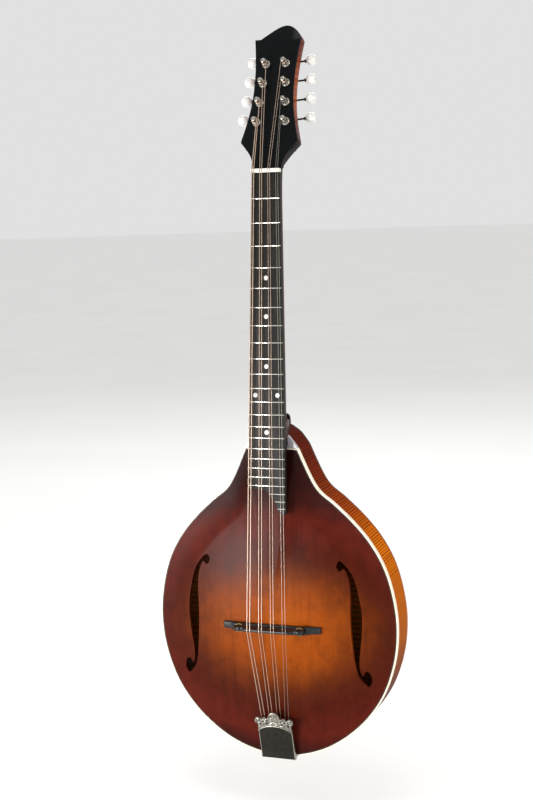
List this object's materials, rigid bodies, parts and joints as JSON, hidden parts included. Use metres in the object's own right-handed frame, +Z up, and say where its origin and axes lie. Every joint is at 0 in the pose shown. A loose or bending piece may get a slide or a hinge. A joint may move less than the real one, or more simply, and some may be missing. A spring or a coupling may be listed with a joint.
{
  "type": "octave mandolin",
  "caption": "Octave mandolin with a teardrop arched body, two f-holes, paired strings, an adjustable bridge, a sliding tailpiece cover and geared tuners.",
  "frame": {"origin": "where the yoke of a wall hanger holds the headstock, 15 mm above the nut and 8 mm behind the headstock's face", "axes": "+Z up along the body towards the headstock, -Y out of the soundboard, +X towards the treble strings"},
  "size_m": [0.2872, 0.1187, 0.8337],
  "materials": {
    "spruce": "gloss lacquer over a red-brown sunburst",
    "maple": "gloss lacquer over stained figured wood",
    "block_wood": "bare wood",
    "ivoroid": "cream, polished",
    "ebony": "oiled, near black",
    "black_lacquer": "gloss black lacquer",
    "bone": "polished bone",
    "nickel": "nickel plated",
    "brass": "turned brass",
    "steel": "bare steel",
    "bronze": "bronze wound",
    "pearloid": "white pearl, polished"
  },
  "bodies": {
    "body": {"top_plate": "spruce", "back_plate": "maple", "top_binding": "ivoroid", "rib_bass": "maple", "lining_top_bass": "block_wood", "lining_back_bass": "block_wood", "rib_treble": "maple", "lining_top_treble": "block_wood", "lining_back_treble": "block_wood", "tail_block": "block_wood", "neck_block": "block_wood", "tone_bar_bass": "spruce", "tone_bar_treble": "spruce", "neck": "maple", "truss_rod": "steel", "fingerboard": "ebony", "nut": "bone", "headstock_veneer": "black_lacquer", "tuner_plate_bass": "nickel", "tuner_plate_treble": "nickel", "bridge_foot": "ebony", "bridge_stud_bass": "brass", "bridge_stud_treble": "brass", "tailpiece_base": "nickel", "string_1": "bronze", "string_2": "bronze", "string_3": "bronze", "string_4": "bronze", "string_5": "bronze", "string_6": "bronze", "string_7": "steel", "string_8": "steel"},
    "post_1": {"post_1": "nickel"},
    "tuner_1": {"worm_shaft_1": "nickel", "button_1": "pearloid"},
    "post_2": {"post_2": "nickel"},
    "tuner_2": {"worm_shaft_2": "nickel", "button_2": "pearloid"},
    "post_3": {"post_3": "nickel"},
    "tuner_3": {"worm_shaft_3": "nickel", "button_3": "pearloid"},
    "post_4": {"post_4": "nickel"},
    "tuner_4": {"worm_shaft_4": "nickel", "button_4": "pearloid"},
    "post_8": {"post_8": "nickel"},
    "tuner_8": {"worm_shaft_8": "nickel", "button_8": "pearloid"},
    "post_7": {"post_7": "nickel"},
    "tuner_7": {"worm_shaft_7": "nickel", "button_7": "pearloid"},
    "post_6": {"post_6": "nickel"},
    "tuner_6": {"worm_shaft_6": "nickel", "button_6": "pearloid"},
    "post_5": {"post_5": "nickel"},
    "tuner_5": {"worm_shaft_5": "nickel", "button_5": "pearloid"},
    "saddle": {"bridge_saddle": "ebony"},
    "thumbwheel_bass": {"thumbwheel_bass": "brass"},
    "thumbwheel_treble": {"thumbwheel_treble": "brass"},
    "tailpiece_cover": {"tailpiece_cover": "nickel"}
  },
  "joints": [
    {"name": "tuner_1_turn", "type": "hinge", "parent": "body", "child": "tuner_1", "pos_m": [-0.01634, 0.02738, 0.04188], "axis": [-0.997, 0.0254, 0.0725], "continuous": true},
    {"name": "post_1_turn", "type": "hinge", "parent": "body", "child": "post_1", "pos_m": [-0.017, 0.00567, 0.0404], "axis": [0, -0.9438, 0.3305], "continuous": true},
    {"name": "tuner_2_turn", "type": "hinge", "parent": "body", "child": "tuner_2", "pos_m": [-0.01457, 0.03496, 0.06352], "axis": [-0.997, 0.0254, 0.0725], "continuous": true},
    {"name": "post_2_turn", "type": "hinge", "parent": "body", "child": "post_2", "pos_m": [-0.01523, 0.01325, 0.06204], "axis": [0, -0.9438, 0.3305], "continuous": true},
    {"name": "tuner_3_turn", "type": "hinge", "parent": "body", "child": "tuner_3", "pos_m": [-0.01281, 0.04254, 0.08517], "axis": [-0.997, 0.0254, 0.0725], "continuous": true},
    {"name": "post_3_turn", "type": "hinge", "parent": "body", "child": "post_3", "pos_m": [-0.01347, 0.02083, 0.08368], "axis": [0, -0.9438, 0.3305], "continuous": true},
    {"name": "tuner_4_turn", "type": "hinge", "parent": "body", "child": "tuner_4", "pos_m": [-0.01104, 0.05012, 0.10681], "axis": [-0.997, 0.0254, 0.0725], "continuous": true},
    {"name": "post_4_turn", "type": "hinge", "parent": "body", "child": "post_4", "pos_m": [-0.0117, 0.02841, 0.10533], "axis": [0, -0.9438, 0.3305], "continuous": true},
    {"name": "tuner_5_turn", "type": "hinge", "parent": "body", "child": "tuner_5", "pos_m": [0.01104, 0.05012, 0.10681], "axis": [0.997, 0.0254, 0.0725], "continuous": true},
    {"name": "post_5_turn", "type": "hinge", "parent": "body", "child": "post_5", "pos_m": [0.0117, 0.02841, 0.10533], "axis": [0, -0.9438, 0.3305], "continuous": true},
    {"name": "tuner_6_turn", "type": "hinge", "parent": "body", "child": "tuner_6", "pos_m": [0.01281, 0.04254, 0.08517], "axis": [0.997, 0.0254, 0.0725], "continuous": true},
    {"name": "post_6_turn", "type": "hinge", "parent": "body", "child": "post_6", "pos_m": [0.01347, 0.02083, 0.08368], "axis": [0, -0.9438, 0.3305], "continuous": true},
    {"name": "tuner_7_turn", "type": "hinge", "parent": "body", "child": "tuner_7", "pos_m": [0.01457, 0.03496, 0.06352], "axis": [0.997, 0.0254, 0.0725], "continuous": true},
    {"name": "post_7_turn", "type": "hinge", "parent": "body", "child": "post_7", "pos_m": [0.01523, 0.01325, 0.06204], "axis": [0, -0.9438, 0.3305], "continuous": true},
    {"name": "tuner_8_turn", "type": "hinge", "parent": "body", "child": "tuner_8", "pos_m": [0.01634, 0.02738, 0.04188], "axis": [0.997, 0.0254, 0.0725], "continuous": true},
    {"name": "post_8_turn", "type": "hinge", "parent": "body", "child": "post_8", "pos_m": [0.017, 0.00567, 0.0404], "axis": [0, -0.9438, 0.3305], "continuous": true},
    {"name": "thumbwheel_bass_turn", "type": "hinge", "parent": "saddle", "child": "thumbwheel_bass", "pos_m": [-0.036, -0.0494, -0.5267], "axis": [0, -1, 0], "range_deg": [-360, 720]},
    {"name": "thumbwheel_treble_turn", "type": "hinge", "parent": "saddle", "child": "thumbwheel_treble", "pos_m": [0.036, -0.0494, -0.5267], "axis": [0, -1, 0], "range_deg": [-360, 720]},
    {"name": "saddle_height", "type": "slide", "parent": "body", "child": "saddle", "axis": [0, -1, 0], "range_m": [-0.0008, 0.0016], "deforming": ["string_1", "string_2", "string_3", "string_4", "string_5", "string_6", "string_7", "string_8"]},
    {"name": "cover_slide", "type": "slide", "parent": "body", "child": "tailpiece_cover", "axis": [0, 0.2487, -0.9686], "range_m": [0, 0.055]}
  ],
  "couplings": [
    {"joint": "post_1_turn", "follows": "tuner_1_turn", "ratio": 0.071429},
    {"joint": "post_2_turn", "follows": "tuner_2_turn", "ratio": 0.071429},
    {"joint": "post_3_turn", "follows": "tuner_3_turn", "ratio": 0.071429},
    {"joint": "post_4_turn", "follows": "tuner_4_turn", "ratio": 0.071429},
    {"joint": "post_5_turn", "follows": "tuner_5_turn", "ratio": -0.071429},
    {"joint": "post_6_turn", "follows": "tuner_6_turn", "ratio": -0.071429},
    {"joint": "post_7_turn", "follows": "tuner_7_turn", "ratio": -0.071429},
    {"joint": "post_8_turn", "follows": "tuner_8_turn", "ratio": -0.071429},
    {"joint": "thumbwheel_bass_turn", "follows": "saddle_height", "rad_per_m": 7854},
    {"joint": "thumbwheel_treble_turn", "follows": "saddle_height", "rad_per_m": 7854}
  ]
}
